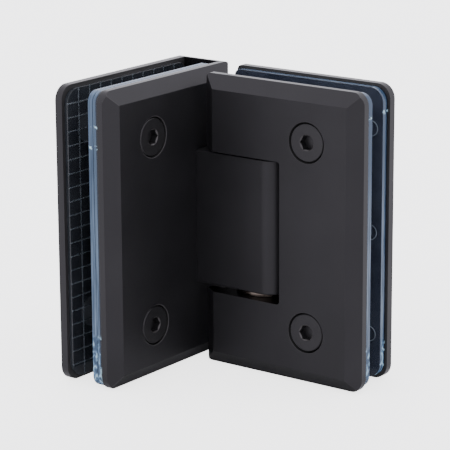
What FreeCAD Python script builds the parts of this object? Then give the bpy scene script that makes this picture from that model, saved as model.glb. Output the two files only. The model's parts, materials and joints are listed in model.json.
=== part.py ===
import FreeCAD, Part
import math
import os

# Glass shower door hinge for a 90 degree corner of two glass panels. Millimetres.
# The origin is on the pivot axis at mid height. +Z is up, +X runs along the shut door towards
# its free end, and -Y is the inside of the corner. The fixed panel runs along -Y.

# Clamp plates of both wings
HEIGHT = 90.0
PLATE_T = 5.0
EDGE_BAND = 2.05            # flat band left round an inner plate's edge, below the bevel
OUTER_EDGE_BAND = 2.5       # the same on the outer plates
BEVEL_W = 4.2               # width of the bevel, seen square on
CORNER_R = 3.75             # corners of an inner plate's free end
OUTER_CORNER_R = 4.5        # the same on the outer plates
PIVOT_CORNER_R = 1.5        # corners of all plates next to the pivot

# Glass and gaskets
GLASS_T = 8.0
DOOR_GASKET_T = 2.6         # on both door plates
FIXED_LAYER_T = 1.85        # each of the two layers behind the fixed inner plate
FIXED_GRID_T = 1.5          # ribbed gasket on the fixed outer plate
INNER_INSET = 0.3           # of the inner gaskets from the plate's edge
DOOR_TOP_INSET = 0.7        # of the door inner gasket's top and bottom
OUTER_INSET = 0.8           # of the door outer gasket
GRID_INSET = 1.1            # of the ribbed gasket
INNER_GASKET_R = 3.5        # free corners of the inner gaskets
OUTER_GASKET_R = 4.5        # free corners of the outer gaskets
PIVOT_GASKET_R = 2.0        # corners of all gaskets next to the pivot
NOTCH_CORNER_R = 2.0        # of the door gaskets' notch
NOTCH_MARGIN = 0.6          # of that notch round the lugs and the slot

# Wings, measured along each wing from the pivot axis
PIVOT_TO_FIXED_FACE = 18.6
SWING_CLEARANCE = 0.5       # of the door plates' swinging corners to the fixed plate's face
DOOR_FREE_END = 40.6
DOOR_OUTER_END = 39.45      # the outer plate stops short of the inner one
FIXED_FREE_END = 50.65
FIXED_CORNER_END = 9.75
DOOR_SCREW_X = 22.45
FIXED_SCREW_X = 31.0
SCREW_Z = 28.8              # clamp screws, above and below mid height

# Return wall at the corner end of the fixed outer plate
RETURN_T = 2.2
RETURN_GAP = 0.6            # left to the fixed inner plate, so that the clamp can close
RETURN_GASKET_GAP = 2.0     # left to the fixed gaskets

# Clamp screws
CLAMP_THREAD_R = 3.0
CLAMP_HEAD_R = 6.0
CLAMP_HEAD_SINK = 0.2
CLAMP_SOCKET_AF = 4.0
CLAMP_SOCKET_DEPTH = 2.4
CLAMP_THREAD_DEPTH = 3.6    # into the outer plate
SLEEVE_WALL = 1.2

# Knuckle block
BLOCK_RECESS = 1.1          # of its sides behind the door plates' faces
BLOCK_NOSE_EXTRA = 1.0      # the nose reaches further from the pivot than the sides
BLOCK_NOSE_R = 6.0
BLOCK_HALF_H = 20.7
BLOCK_LIFT = 0.6            # above mid height, so that the door hangs on the thin upper washer
BLOCK_EDGE = 0.3            # chamfer round its top and bottom
BLOCK_SEAT = 1.0            # depth of its seat in the fixed plate
SLOT_NOSE_GAP = 1.35        # from the nose to the end of the door plates' slot
SLOT_CORNER_R = 1.0

# Screws that hold the block
KNUCKLE_THREAD_R = 2.5
KNUCKLE_HEAD_R = 5.0
KNUCKLE_HEAD_SINK = 0.2
KNUCKLE_SOCKET_AF = 3.0
KNUCKLE_SOCKET_DEPTH = 1.6
KNUCKLE_THREAD_DEPTH = 10.0  # into the block
KNUCKLE_SCREW_Z = 16.1

# Pivot
PIN_R = 5.0
PIN_FLAT = 4.3              # from the axis to each of the four flats
FLAT_OVERRUN = 0.9          # of the flats past the shoe's pocket
PIN_CHAMFER = 0.8
PIN_END_SINK = 0.6          # in the lugs
BUSH_WALL = 1.25
BUSH_LEN = 7.0
BORE_GAP = 0.4              # round the pin between the bushes
UPPER_WASHER_T = 0.4        # the lower washer fills the wider gap below the block
WASHER_R = 9.0
LUG_H = 9.5
LUG_HALF_W = 11.5
LUG_EDGE_R = 2.5
LUG_OUTER_GAP = 0.6         # to the door outer plate, so that the clamp can close

# Set screws that hold the pin
SET_THREAD_R = 2.0
SET_SINK = 0.4
SET_SOCKET_AF = 2.0
SET_SOCKET_DEPTH = 1.6
SET_FLAT_DEPTH = 0.5        # of the flat on the pin under each set screw
SET_FLAT_MARGIN = 0.6

# Detent
SHOE_T = 4.5
SHOE_HALF_W = 5.9
SHOE_HALF_H = 11.35
SHOE_EDGE = 0.8
SPRING_R = 4.0              # outside
WIRE_W = 1.2                # flat wire, across the coil
WIRE_H = 0.9                # flat wire, along the coil
SPRING_TURNS = 5
TURN_STEPS = 12             # straight lengths that make up a turn
SPRING_Z = 5.6
SPRING_SEAT_DEPTH = 1.5
SPRING_SEAT_GAP = 0.3       # round each spring in the shoe

# Clearances
RUNNING = 0.05              # faces and shafts that turn on each other
SLIDING = 0.1               # shoe in its pocket
SCREW_HOLE = 0.25           # radial, round a screw that passes through
THREAD = 0.04               # radial, round a screw in its thread
THREAD_END = 0.4            # left past a screw's tip in a blind hole
SEAT = 0.02                 # pieces that are pressed or seated in each other
OVERRUN = 1.0               # of a cutting tool past the face that it enters

# Worked out from the sizes above
HALF_H = HEIGHT / 2
DOOR_BACK = GLASS_T / 2 + DOOR_GASKET_T
FIXED_BACK = (GLASS_T + 2 * FIXED_LAYER_T + FIXED_GRID_T) / 2
FIXED_MID_X = -(PIVOT_TO_FIXED_FACE + PLATE_T + FIXED_BACK)
SWING_R = PIVOT_TO_FIXED_FACE - SWING_CLEARANCE
DOOR_CORNER_END = math.sqrt(SWING_R ** 2 - (DOOR_BACK + EDGE_BAND) ** 2)
DOOR_OUTER_CORNER = math.sqrt(SWING_R ** 2 - (DOOR_BACK + OUTER_EDGE_BAND) ** 2)
RETURN_INSIDE = FIXED_CORNER_END - RETURN_T
BLOCK_HALF_T = DOOR_BACK + PLATE_T - BLOCK_RECESS
BLOCK_NOSE = BLOCK_HALF_T + BLOCK_NOSE_EXTRA
BLOCK_FOOT = -PIVOT_TO_FIXED_FACE - BLOCK_SEAT
SLOT_END = BLOCK_NOSE + SLOT_NOSE_GAP
SLOT_HALF_H = BLOCK_LIFT + BLOCK_HALF_H + UPPER_WASHER_T + 2 * RUNNING
LUG_TOP = SLOT_HALF_H + LUG_H
LUG_FACE = LUG_OUTER_GAP - DOOR_BACK
PIN_HALF_L = LUG_TOP - PIN_END_SINK
BUSH_BORE_R = PIN_R + RUNNING
BUSH_R = BUSH_BORE_R + BUSH_WALL
POCKET_HALF_W = SHOE_HALF_W + SLIDING
POCKET_HALF_H = SHOE_HALF_H + SLIDING
FLAT_HALF_H = POCKET_HALF_H + FLAT_OVERRUN
SHOE_FRONT = -(PIN_R + RUNNING)
SHOE_BACK = SHOE_FRONT - SHOE_T
SET_Z = SLOT_HALF_H + LUG_H / 2
SET_TIP = PIN_R - SET_FLAT_DEPTH
SLEEVE_BORE_R = CLAMP_THREAD_R + SCREW_HOLE
SLEEVE_R = SLEEVE_BORE_R + SLEEVE_WALL
LEVELS = (1, -1)            # above and below mid height

CENTRE = FreeCAD.Vector(0, 0, 0)
X_AXIS = FreeCAD.Vector(1, 0, 0)
Y_AXIS = FreeCAD.Vector(0, 1, 0)
Z_AXIS = FreeCAD.Vector(0, 0, 1)


# Basic forms

def box(x_span, y_span, z_span):
    """A box over three spans, each a low and a high value."""
    low = FreeCAD.Vector(x_span[0], y_span[0], z_span[0])
    sizes = [span[1] - span[0] for span in (x_span, y_span, z_span)]
    return Part.makeBox(*sizes, low)


def along(shape, start, direction):
    """Moves a shape that stands on the origin to a start point, turned along a direction."""
    shape.Placement = FreeCAD.Placement(FreeCAD.Vector(*start), FreeCAD.Rotation(Z_AXIS, direction))
    return shape


def rod(radius, start, direction, length):
    return along(Part.makeCylinder(radius, length), start, direction)


def ring(outer, inner, z_low, z_high):
    """A plain round ring on the pivot axis."""
    start = FreeCAD.Vector(0, 0, z_low)
    body = Part.makeCylinder(outer, z_high - z_low, start)
    return body.cut(Part.makeCylinder(inner, z_high - z_low, start))


def turned(profile):
    """A solid turned about Z from a profile of radius and height pairs."""
    points = [FreeCAD.Vector(radius, 0, height) for radius, height in profile]
    outline = Part.makePolygon(points + points[:1])
    return Part.Face(outline).revolve(CENTRE, Z_AXIS, 360)


def parallel_edges(shape, axis):
    """The straight edges of a shape that run along an axis."""
    straight = [edge for edge in shape.Edges if isinstance(edge.Curve, Part.Line)]
    return [edge for edge in straight if abs(edge.Curve.Direction.dot(axis)) > 0.99]


def outline(x_span, half_h, y, pivot_r, free_r):
    """An upright outline with one radius at its low X end and another at its high X end."""
    blank = box(x_span, (y - OVERRUN, y), (-half_h, half_h))
    middle = sum(x_span) / 2
    for radius, side in ((pivot_r, -1), (free_r, 1)):
        uprights = parallel_edges(blank, Y_AXIS)
        corners = [edge for edge in uprights if (edge.CenterOfMass.x - middle) * side > 0]
        blank = blank.makeFillet(radius, corners)
    front = max(blank.Faces, key=lambda face: face.CenterOfMass.y)
    return front.OuterWire


def rounded_slab(x_span, half_h, y_span, pivot_r, free_r):
    """An upright slab with such an outline."""
    face = Part.Face(outline(x_span, half_h, y_span[0], pivot_r, free_r))
    return face.extrude(Y_AXIS * (y_span[1] - y_span[0]))


def hex_socket(across_flats, depth):
    """A hexagon recess that stands on the origin."""
    radius = across_flats / math.sqrt(3)
    corners = []
    for step in range(7):
        angle = math.radians(60 * step)
        corners.append(FreeCAD.Vector(radius * math.cos(angle), radius * math.sin(angle), 0))
    return Part.Face(Part.makePolygon(corners)).extrude(Z_AXIS * depth)


def countersink(hole_r, head_r, sink, length):
    """The cutter of a 90 degree countersunk hole that is entered at the origin."""
    mouth_r = head_r + SEAT + sink
    return turned([
        (0, -OVERRUN), (mouth_r + OVERRUN, -OVERRUN),
        (hole_r, mouth_r - hole_r), (hole_r, length), (0, length),
    ])


def countersunk_screw(thread_r, head_r, sink, socket_af, socket_depth, length):
    """A socket screw with its head sunk below the origin and its tip at the length given."""
    cone_end = sink + head_r - thread_r
    body = turned([(0, sink), (head_r, sink), (thread_r, cone_end), (thread_r, length), (0, length)])
    return body.cut(along(hex_socket(socket_af, socket_depth), (0, 0, sink), Z_AXIS))


# Pieces that both wings have. In a wing's own frame X runs from the pivot to the free end,
# Y points to the inside of the corner, and Y = 0 is the middle of the clamp gap.

def in_door(shape):
    """Turns a piece from the wing's own frame into the shut door."""
    shape.rotate(CENTRE, X_AXIS, 180)
    return shape


def in_fixed(shape):
    """Turns a piece from the wing's own frame onto the fixed panel."""
    shape.rotate(CENTRE, Z_AXIS, -90)
    shape.translate(FreeCAD.Vector(FIXED_MID_X, 0, 0))
    return shape


def lifted(shape):
    """Moves the block or a piece in it from mid height to the block's level."""
    shape.translate(Z_AXIS * BLOCK_LIFT)
    return shape


def inner_plate(corner_end, free_end, back):
    """An inner plate: a flat band round its edge and a plane bevel along each side of its face."""
    band = back + EDGE_BAND
    face = back + PLATE_T
    blank = rounded_slab((-corner_end, free_end), HALF_H, (back, face), PIVOT_CORNER_R, CORNER_R)
    crown = Part.makeWedge(
        -corner_end, band, -HALF_H, BEVEL_W - HALF_H, BEVEL_W - corner_end,
        free_end, face, HALF_H, HALF_H - BEVEL_W, free_end - BEVEL_W,
    )
    base = box((-corner_end, free_end), (back, band), (-HALF_H, HALF_H))
    return blank.common(crown.fuse(base)).removeSplitter()


def outer_plate(corner_end, free_end, back):
    """An outer plate, outside the glass: its bevel follows the round corners."""
    band = back + OUTER_EDGE_BAND
    face = back + PLATE_T
    face_r = OUTER_CORNER_R - BEVEL_W
    rim = rounded_slab((-corner_end, free_end), HALF_H, (back, band), PIVOT_CORNER_R, OUTER_CORNER_R)
    foot = outline((-corner_end, free_end), HALF_H, band, PIVOT_CORNER_R, OUTER_CORNER_R)
    face_span = (BEVEL_W - corner_end, free_end - BEVEL_W)
    top = outline(face_span, HALF_H - BEVEL_W, face, face_r, face_r)
    crown = Part.makeLoft([foot, top], True, True)
    return rim.fuse(crown).removeSplitter().mirror(CENTRE, Y_AXIS)


def clamp_holes(plate, screw_x, back):
    """Cuts the countersunk holes of the two clamp screws into an inner plate."""
    for level in LEVELS:
        cutter = countersink(SLEEVE_BORE_R, CLAMP_HEAD_R, CLAMP_HEAD_SINK, PLATE_T + OVERRUN)
        start = (screw_x, back + PLATE_T, level * SCREW_Z)
        plate = plate.cut(along(cutter, start, -Y_AXIS))
    return plate


def clamp_threads(plate, screw_x, back):
    """Cuts the two blind threaded holes into an outer plate."""
    for level in LEVELS:
        depth = OVERRUN + CLAMP_THREAD_DEPTH + THREAD_END
        start = (screw_x, OVERRUN - back, level * SCREW_Z)
        plate = plate.cut(rod(CLAMP_THREAD_R + THREAD, start, -Y_AXIS, depth))
    return plate


def clamp_screws(screw_x, back):
    """The two screws that draw the plates of a wing together."""
    length = PLATE_T + 2 * back + CLAMP_THREAD_DEPTH
    screws = []
    for level in LEVELS:
        screw = countersunk_screw(
            CLAMP_THREAD_R, CLAMP_HEAD_R, CLAMP_HEAD_SINK, CLAMP_SOCKET_AF, CLAMP_SOCKET_DEPTH, length,
        )
        screws.append(along(screw, (screw_x, back + PLATE_T, level * SCREW_Z), -Y_AXIS))
    return Part.makeCompound(screws)


def screw_sleeves(screw_x, back):
    """The two soft sleeves that keep a wing's screws off the glass."""
    sleeves = []
    for level in LEVELS:
        start = (screw_x, back - RUNNING, level * SCREW_Z)
        length = 2 * (back - RUNNING)
        outside = rod(SLEEVE_R, start, -Y_AXIS, length)
        sleeves.append(outside.cut(rod(SLEEVE_BORE_R, start, -Y_AXIS, length)))
    return Part.makeCompound(sleeves)


def gasket(x_span, half_h, y_span, corner_r, screw_x):
    """A flat gasket with rounded corners and a hole round each screw sleeve."""
    pad = rounded_slab(x_span, half_h, y_span, PIVOT_GASKET_R, corner_r)
    for level in LEVELS:
        start = (screw_x, y_span[0] - OVERRUN, level * SCREW_Z)
        pad = pad.cut(rod(SLEEVE_R + SEAT, start, Y_AXIS, y_span[1] - y_span[0] + 2 * OVERRUN))
    return pad


# Fixed wing

def fixed_inner_plate():
    face = FIXED_BACK + PLATE_T
    plate = inner_plate(FIXED_CORNER_END, FIXED_FREE_END, FIXED_BACK)
    plate = clamp_holes(plate, FIXED_SCREW_X, FIXED_BACK)
    half_w = BLOCK_HALF_T + SEAT
    half_h = BLOCK_HALF_H + SEAT
    seat = box((-half_w, half_w), (face - BLOCK_SEAT, face + OVERRUN), (-half_h, half_h))
    plate = plate.cut(lifted(seat))
    for level in LEVELS:
        cutter = countersink(KNUCKLE_THREAD_R + SCREW_HOLE, KNUCKLE_HEAD_R, KNUCKLE_HEAD_SINK, PLATE_T)
        plate = plate.cut(lifted(along(cutter, (0, FIXED_BACK, level * KNUCKLE_SCREW_Z), Y_AXIS)))
    return in_fixed(plate)


def fixed_outer_plate():
    plate = outer_plate(FIXED_CORNER_END, FIXED_FREE_END, FIXED_BACK)
    plate = clamp_threads(plate, FIXED_SCREW_X, FIXED_BACK)
    depth = (-FIXED_BACK - OUTER_EDGE_BAND, FIXED_BACK - RETURN_GAP)
    wall = rounded_slab((-FIXED_CORNER_END, 0), HALF_H, depth, PIVOT_CORNER_R, PIVOT_CORNER_R)
    channel = box((-RETURN_INSIDE, FIXED_FREE_END), (-FIXED_BACK, FIXED_BACK), (-HEIGHT, HEIGHT))
    return in_fixed(plate.fuse(wall).cut(channel).removeSplitter())


def fixed_gasket(y_span, inset, corner_r):
    x_span = (RETURN_GASKET_GAP - RETURN_INSIDE, FIXED_FREE_END - inset)
    return in_fixed(gasket(x_span, HALF_H - inset, y_span, corner_r, FIXED_SCREW_X))


def fixed_inner_gasket():
    return fixed_gasket((FIXED_BACK - FIXED_LAYER_T, FIXED_BACK), INNER_INSET, INNER_GASKET_R)


def fixed_gasket_layer():
    y_span = (FIXED_BACK - 2 * FIXED_LAYER_T, FIXED_BACK - FIXED_LAYER_T)
    return fixed_gasket(y_span, INNER_INSET, INNER_GASKET_R)


def fixed_outer_gasket():
    return fixed_gasket((-FIXED_BACK, FIXED_GRID_T - FIXED_BACK), GRID_INSET, OUTER_GASKET_R)


# Door wing

def slotted(plate):
    """Cuts the open slot that the knuckle block moves in."""
    slot = box((-PIVOT_TO_FIXED_FACE, SLOT_END), (-HEIGHT, HEIGHT), (-SLOT_HALF_H, SLOT_HALF_H))
    ends = [edge for edge in parallel_edges(slot, Y_AXIS) if edge.CenterOfMass.x > 0]
    return plate.cut(slot.makeFillet(SLOT_CORNER_R, ends))


def pin_lug(level):
    """A lug behind the door inner plate that holds one end of the pin."""
    z_span = sorted((level * SLOT_HALF_H, level * LUG_TOP))
    lug = box((-LUG_HALF_W, LUG_HALF_W), (LUG_FACE, DOOR_BACK), z_span)
    rims = [edge for edge in parallel_edges(lug, Z_AXIS) if edge.CenterOfMass.y < 0]
    lug = lug.makeFillet(LUG_EDGE_R, rims)
    lug = lug.cut(rod(PIN_R + SEAT, (0, 0, z_span[0] - OVERRUN), Z_AXIS, LUG_H + 2 * OVERRUN))
    return lug.cut(rod(SET_THREAD_R + THREAD, (0, 0, level * SET_Z), X_AXIS, LUG_HALF_W + OVERRUN))


def door_inner_plate():
    plate = slotted(inner_plate(DOOR_CORNER_END, DOOR_FREE_END, DOOR_BACK))
    plate = clamp_holes(plate, DOOR_SCREW_X, DOOR_BACK)
    for level in LEVELS:
        plate = plate.fuse(pin_lug(level))
    return in_door(plate.removeSplitter())


def door_outer_plate():
    plate = outer_plate(DOOR_OUTER_CORNER, DOOR_OUTER_END, DOOR_BACK)
    return in_door(clamp_threads(slotted(plate), DOOR_SCREW_X, DOOR_BACK))


def door_gasket(x_span, half_h, y_span, corner_r):
    """A door gasket, notched like the glass round the slot and the lugs."""
    pad = gasket(x_span, half_h, y_span, corner_r, DOOR_SCREW_X)
    notch_h = LUG_TOP + NOTCH_MARGIN
    notch = box((-PIVOT_TO_FIXED_FACE, SLOT_END + NOTCH_MARGIN), (-HEIGHT, HEIGHT), (-notch_h, notch_h))
    ends = [edge for edge in parallel_edges(notch, Y_AXIS) if edge.CenterOfMass.x > 0]
    return in_door(pad.cut(notch.makeFillet(NOTCH_CORNER_R, ends)))


def door_inner_gasket():
    x_span = (INNER_INSET - DOOR_CORNER_END, DOOR_FREE_END - INNER_INSET)
    y_span = (DOOR_BACK - DOOR_GASKET_T, DOOR_BACK)
    return door_gasket(x_span, HALF_H - DOOR_TOP_INSET, y_span, INNER_GASKET_R)


def door_outer_gasket():
    x_span = (OUTER_INSET - DOOR_OUTER_CORNER, DOOR_OUTER_END - OUTER_INSET)
    y_span = (-DOOR_BACK, DOOR_GASKET_T - DOOR_BACK)
    return door_gasket(x_span, HALF_H - OUTER_INSET, y_span, OUTER_GASKET_R)


# Knuckle block and what it holds

def knuckle_block():
    block = box((BLOCK_FOOT, BLOCK_NOSE), (-BLOCK_HALF_T, BLOCK_HALF_T), (-BLOCK_HALF_H, BLOCK_HALF_H))
    nose = [edge for edge in parallel_edges(block, Z_AXIS) if edge.CenterOfMass.x > 0]
    block = block.makeFillet(BLOCK_NOSE_R, nose)
    rims = []
    for edge in block.Edges:
        level_edge = abs(abs(edge.CenterOfMass.z) - BLOCK_HALF_H) < SEAT
        if level_edge and edge.CenterOfMass.x > BLOCK_FOOT + SEAT:
            rims.append(edge)
    block = block.makeChamfer(BLOCK_EDGE, rims)
    block = block.cut(rod(PIN_R + BORE_GAP, (0, 0, -HALF_H), Z_AXIS, HEIGHT))
    pocket = box(
        (BLOCK_FOOT - OVERRUN, 0), (-POCKET_HALF_W, POCKET_HALF_W), (-POCKET_HALF_H, POCKET_HALF_H),
    )
    block = block.cut(pocket)
    for level in LEVELS:
        seat_start = (0, 0, level * (BLOCK_HALF_H - BUSH_LEN - SEAT))
        block = block.cut(rod(BUSH_R + SEAT, seat_start, Z_AXIS * level, BUSH_LEN + OVERRUN))
        hole_start = (BLOCK_FOOT - OVERRUN, 0, level * KNUCKLE_SCREW_Z)
        depth = OVERRUN + KNUCKLE_THREAD_DEPTH + THREAD_END
        block = block.cut(rod(KNUCKLE_THREAD_R + THREAD, hole_start, X_AXIS, depth))
    return block


def knuckle_screws():
    """The two screws from the glass side of the fixed plate into the block."""
    length = PLATE_T - BLOCK_SEAT + KNUCKLE_THREAD_DEPTH
    back = -PIVOT_TO_FIXED_FACE - PLATE_T
    screws = []
    for level in LEVELS:
        screw = countersunk_screw(
            KNUCKLE_THREAD_R, KNUCKLE_HEAD_R, KNUCKLE_HEAD_SINK,
            KNUCKLE_SOCKET_AF, KNUCKLE_SOCKET_DEPTH, length,
        )
        screws.append(along(screw, (back, 0, level * KNUCKLE_SCREW_Z), X_AXIS))
    return Part.makeCompound(screws)


def pivot_pin():
    """The pin: four flats at its middle for the shoe, and a flat under each set screw."""
    chamfer_r = PIN_R - PIN_CHAMFER
    shoulder = PIN_HALF_L - PIN_CHAMFER
    pin = turned([
        (0, -PIN_HALF_L), (chamfer_r, -PIN_HALF_L), (PIN_R, -shoulder),
        (PIN_R, shoulder), (chamfer_r, PIN_HALF_L), (0, PIN_HALF_L),
    ])
    for quarter in range(4):
        flat = box((PIN_FLAT, 2 * PIN_R), (-PIN_R, PIN_R), (-FLAT_HALF_H, FLAT_HALF_H))
        flat.rotate(CENTRE, Z_AXIS, 90 * quarter)
        pin = pin.cut(flat)
    half_h = SET_THREAD_R + SET_FLAT_MARGIN
    for level in LEVELS:
        middle = level * SET_Z
        pin = pin.cut(box((SET_TIP, 2 * PIN_R), (-PIN_R, PIN_R), (middle - half_h, middle + half_h)))
    return pin


def pin_set_screws():
    """The two set screws in the lugs."""
    length = LUG_HALF_W - SET_SINK - SET_TIP - SEAT
    screws = []
    for level in LEVELS:
        mouth = (LUG_HALF_W - SET_SINK, 0, level * SET_Z)
        screw = rod(SET_THREAD_R, mouth, -X_AXIS, length)
        screws.append(screw.cut(along(hex_socket(SET_SOCKET_AF, SET_SOCKET_DEPTH), mouth, -X_AXIS)))
    return Part.makeCompound(screws)


def bush(level):
    z_span = sorted((level * (BLOCK_HALF_H - BUSH_LEN), level * BLOCK_HALF_H))
    return ring(BUSH_R, BUSH_BORE_R, *z_span)


def thrust_washer(level):
    """The washer between an end of the block and the slot's edge."""
    block_end = BLOCK_LIFT + level * (BLOCK_HALF_H + RUNNING)
    slot_edge = level * (SLOT_HALF_H - RUNNING)
    return ring(WASHER_R, BUSH_BORE_R, *sorted((block_end, slot_edge)))


def detent_shoe():
    """The sprung shoe, drawn as it rides on the pin between two flats."""
    shoe = box((SHOE_BACK, SHOE_FRONT), (-SHOE_HALF_W, SHOE_HALF_W), (-SHOE_HALF_H, SHOE_HALF_H))
    front = [edge for edge in shoe.Edges if abs(edge.CenterOfMass.x - SHOE_FRONT) < SEAT]
    shoe = shoe.makeChamfer(SHOE_EDGE, front)
    for level in LEVELS:
        start = (SHOE_BACK - OVERRUN, 0, level * SPRING_Z)
        shoe = shoe.cut(rod(SPRING_R + SPRING_SEAT_GAP, start, X_AXIS, OVERRUN + SPRING_SEAT_DEPTH))
    return shoe


def flat_wire_coil(rise):
    """A coil of flat wire about Z that starts at the origin's level."""
    coil_r = SPRING_R - WIRE_W / 2
    steps = SPRING_TURNS * TURN_STEPS
    path = []
    for step in range(steps + 1):
        angle = 2 * math.pi * step / TURN_STEPS
        path.append(FreeCAD.Vector(coil_r * math.cos(angle), coil_r * math.sin(angle), rise * step / steps))
    corners = []
    for across, up in ((-1, -1), (1, -1), (1, 1), (-1, 1), (-1, -1)):
        corners.append(FreeCAD.Vector(coil_r + across * WIRE_W / 2, 0, up * WIRE_H / 2))
    mitred = 1
    return Part.makePolygon(path).makePipeShell([Part.makePolygon(corners)], True, True, mitred)


def detent_springs():
    """Two coil springs between the fixed plate and the shoe."""
    length = SHOE_BACK + SPRING_SEAT_DEPTH - BLOCK_FOOT
    rise = length - WIRE_H - 2 * RUNNING
    springs = []
    for level in LEVELS:
        start = (BLOCK_FOOT + WIRE_H / 2 + RUNNING, 0, level * SPRING_Z)
        springs.append(along(flat_wire_coil(rise), start, X_AXIS))
    return Part.makeCompound(springs)


PIECES = {
    "fixed_inner_plate": fixed_inner_plate(),
    "fixed_outer_plate": fixed_outer_plate(),
    "fixed_inner_gasket": fixed_inner_gasket(),
    "fixed_gasket_layer": fixed_gasket_layer(),
    "fixed_outer_gasket": fixed_outer_gasket(),
    "fixed_clamp_screws": in_fixed(clamp_screws(FIXED_SCREW_X, FIXED_BACK)),
    "fixed_screw_sleeves": in_fixed(screw_sleeves(FIXED_SCREW_X, FIXED_BACK)),
    "knuckle_block": lifted(knuckle_block()),
    "knuckle_screws": lifted(knuckle_screws()),
    "upper_bush": lifted(bush(1)),
    "lower_bush": lifted(bush(-1)),
    "detent_shoe": lifted(detent_shoe()),
    "detent_springs": lifted(detent_springs()),
    "door_inner_plate": door_inner_plate(),
    "door_outer_plate": door_outer_plate(),
    "door_inner_gasket": door_inner_gasket(),
    "door_outer_gasket": door_outer_gasket(),
    "door_clamp_screws": in_door(clamp_screws(DOOR_SCREW_X, DOOR_BACK)),
    "door_screw_sleeves": in_door(screw_sleeves(DOOR_SCREW_X, DOOR_BACK)),
    "pivot_pin": pivot_pin(),
    "pin_set_screws": pin_set_screws(),
    "upper_thrust_washer": thrust_washer(1),
    "lower_thrust_washer": thrust_washer(-1),
}

os.makedirs("parts", exist_ok=True)
for node, shape in PIECES.items():
    shape.exportStep("parts/" + node + ".step")
    print(node, len(shape.Solids), shape.isValid(), round(shape.Volume, 1))
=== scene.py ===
import json
import math

import bmesh
import bpy
from mathutils import Matrix, Vector

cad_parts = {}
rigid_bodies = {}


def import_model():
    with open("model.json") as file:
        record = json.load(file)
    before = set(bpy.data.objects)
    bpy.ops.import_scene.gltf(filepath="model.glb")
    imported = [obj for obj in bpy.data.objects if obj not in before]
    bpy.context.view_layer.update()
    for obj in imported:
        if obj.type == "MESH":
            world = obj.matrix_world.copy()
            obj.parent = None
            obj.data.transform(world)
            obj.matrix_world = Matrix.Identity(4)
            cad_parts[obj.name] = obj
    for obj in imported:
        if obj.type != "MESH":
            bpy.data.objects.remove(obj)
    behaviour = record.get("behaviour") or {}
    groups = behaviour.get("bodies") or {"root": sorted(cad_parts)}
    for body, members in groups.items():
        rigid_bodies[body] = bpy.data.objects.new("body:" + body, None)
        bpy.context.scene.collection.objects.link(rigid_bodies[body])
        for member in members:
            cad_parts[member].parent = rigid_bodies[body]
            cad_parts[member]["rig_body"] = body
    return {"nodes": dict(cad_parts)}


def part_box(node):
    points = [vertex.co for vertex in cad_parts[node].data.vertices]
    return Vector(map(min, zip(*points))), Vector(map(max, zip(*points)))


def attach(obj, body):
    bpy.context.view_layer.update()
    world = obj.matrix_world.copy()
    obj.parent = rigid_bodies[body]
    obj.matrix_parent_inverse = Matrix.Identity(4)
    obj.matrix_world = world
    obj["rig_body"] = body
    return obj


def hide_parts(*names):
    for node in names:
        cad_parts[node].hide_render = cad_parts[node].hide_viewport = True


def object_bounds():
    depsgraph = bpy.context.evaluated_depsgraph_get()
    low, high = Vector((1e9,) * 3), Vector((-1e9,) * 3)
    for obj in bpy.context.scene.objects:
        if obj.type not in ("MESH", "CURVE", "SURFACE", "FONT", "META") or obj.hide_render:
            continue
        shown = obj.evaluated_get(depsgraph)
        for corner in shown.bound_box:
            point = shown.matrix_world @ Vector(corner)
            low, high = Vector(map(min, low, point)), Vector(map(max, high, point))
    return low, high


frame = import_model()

cad_low, cad_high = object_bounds()

# Glass shower door hinge for a corner of two glass panels. Metres, in the frame's own axes:
# the pivot stands on Z, the shut door runs along +X and the fixed panel along -Y.
MM = 0.001
FAR_OFF = 1.0                  # farther than any of the hinge's own sizes

# Camera, placed from the pivot at mid height
CAMERA_PLACE = Vector((0.38965, -0.5403, 0.17384))
CAMERA_AZIMUTH = 36.884
CAMERA_ELEVATION = 14.753
CAMERA_ROLL = -0.31
CAMERA_LENS = 182.1
CAMERA_SENSOR = 36.0
CAMERA_NEAR = 0.01
CAMERA_FAR = 20.0

# Light and floor
TENT_COLOUR = (0.985, 0.975, 1.04, 1)
TENT_LIGHT = 1.45
PAPER_GLOW = 2.6               # of the floor and the tent where the camera sees them
PAPER_DULL = (0.9, 0.9, 0.9, 1)
PAPER_CLEAN = (0.94, 0.94, 0.94, 1)
PAPER_CLOUDS = 3.0
PAPER_ROUGH = 0.9
FLOOR_HALF = 4.0
FLOOR_DROP = 0.2 * MM          # below the plates
SHADE_PLACE = (0.13, -0.25, -0.045)     # soft shade on the floor, on the camera's side
SHADE_REACH = 0.26
SHADE_DEPTH = 0.6
BLACK = (0.0, 0.0, 0.0, 1)
WHITE = (1.0, 1.0, 1.0, 1)

# Edges
MERGE = 0.002 * MM
FLAT_ANGLE = math.radians(1.0)
EDGE_ANGLE = math.radians(25.0)
ROUND_STEPS = 4
PLATE_ROUND = 0.28 * MM
RIM_SLOPE = 0.3                # a plate's face that leans less than this is part of its rim
# Rounded mitres and countersink rims keep a lighter worn edge, which is also a painted highlight.
MITRE_SLOPE = 0.12             # an edge's face that leans more than this both ways is part of a mitre
MITRE_LEAN = 0.5               # if it also looks this much along the plate's thickness
MOUTH_REACH = 1.0 * MM         # a countersink's rim is within this of the screw head's radius
UNDER_SLOPE = 0.2              # a plate's face that looks down more than this is one of its undersides, which get painted shade
SLOT_REACH = 23.0 * MM         # the door plate's slot lies within this of mid height
BLOCK_ROUND = 0.22 * MM
GASKET_ROUND = 0.25 * MM
SMALL_ROUND = 0.12 * MM
FLAT_SLOPE = 0.97              # a gasket's face that leans more than this is one of its broad faces
LIP_SLOPE = 0.2                # and one between is part of the rounded lip
FROM_PLATE = "from_plate"      # distance of a gasket's points from its plate
GASKET_CLEAR = 0.03 * MM       # between a gasket's face and what it lies on

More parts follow.
